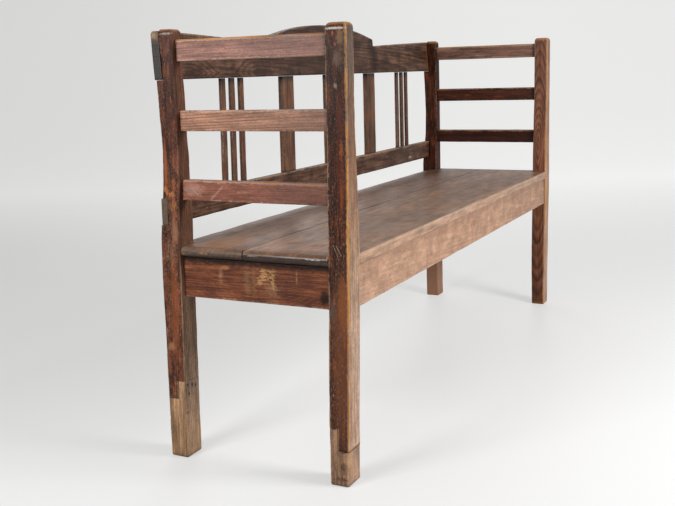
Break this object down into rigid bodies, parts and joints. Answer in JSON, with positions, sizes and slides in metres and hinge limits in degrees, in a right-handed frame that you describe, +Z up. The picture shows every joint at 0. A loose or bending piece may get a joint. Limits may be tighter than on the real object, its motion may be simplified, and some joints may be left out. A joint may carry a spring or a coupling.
{
  "type": "church pew",
  "caption": "Freestanding wooden pew with a plank seat, railed open ends on square posts, and a slatted back under a stepped crest rail, worn and mended.",
  "frame": {"origin": "on the floor, under the middle of the pew's bounding box", "axes": "+X along the pew, towards the end on a sitter's left hand, +Y from the seat's front edge to the back, so that a sitter faces -Y, +Z up"},
  "size_m": [1.726, 0.4672, 0.982],
  "materials": {
    "post_wood": "satin",
    "rail_wood": "satin",
    "back_wood": "satin",
    "slat_wood": "satin",
    "seat_wood": "satin",
    "front_apron_wood": "matte",
    "end_apron_wood": "satin",
    "underside_wood": "matte",
    "new_foot_wood": "matte"
  },
  "bodies": {
    "root": {"front_post_left": "post_wood", "rear_post_left": "post_wood", "front_foot_left": "new_foot_wood", "rear_foot_left": "new_foot_wood", "front_post_right": "post_wood", "rear_post_right": "post_wood", "end_rail_top_left": "rail_wood", "end_rail_middle_left": "rail_wood", "end_rail_lower_left": "rail_wood", "end_apron_left": "end_apron_wood", "end_rail_top_right": "rail_wood", "end_rail_middle_right": "rail_wood", "end_rail_lower_right": "rail_wood", "end_apron_right": "end_apron_wood", "seat_plank_front": "seat_wood", "seat_plank_rear": "seat_wood", "front_apron": "front_apron_wood", "rear_apron": "underside_wood", "seat_bearer": "underside_wood", "crest_rail": "back_wood", "lower_back_rail": "back_wood", "wide_slat_left": "slat_wood", "wide_slat_middle": "slat_wood", "wide_slat_right": "slat_wood", "narrow_slat_left_1": "slat_wood", "narrow_slat_left_2": "slat_wood", "narrow_slat_left_3": "slat_wood", "narrow_slat_right_1": "slat_wood", "narrow_slat_right_2": "slat_wood", "narrow_slat_right_3": "slat_wood"}
  },
  "joints": []
}
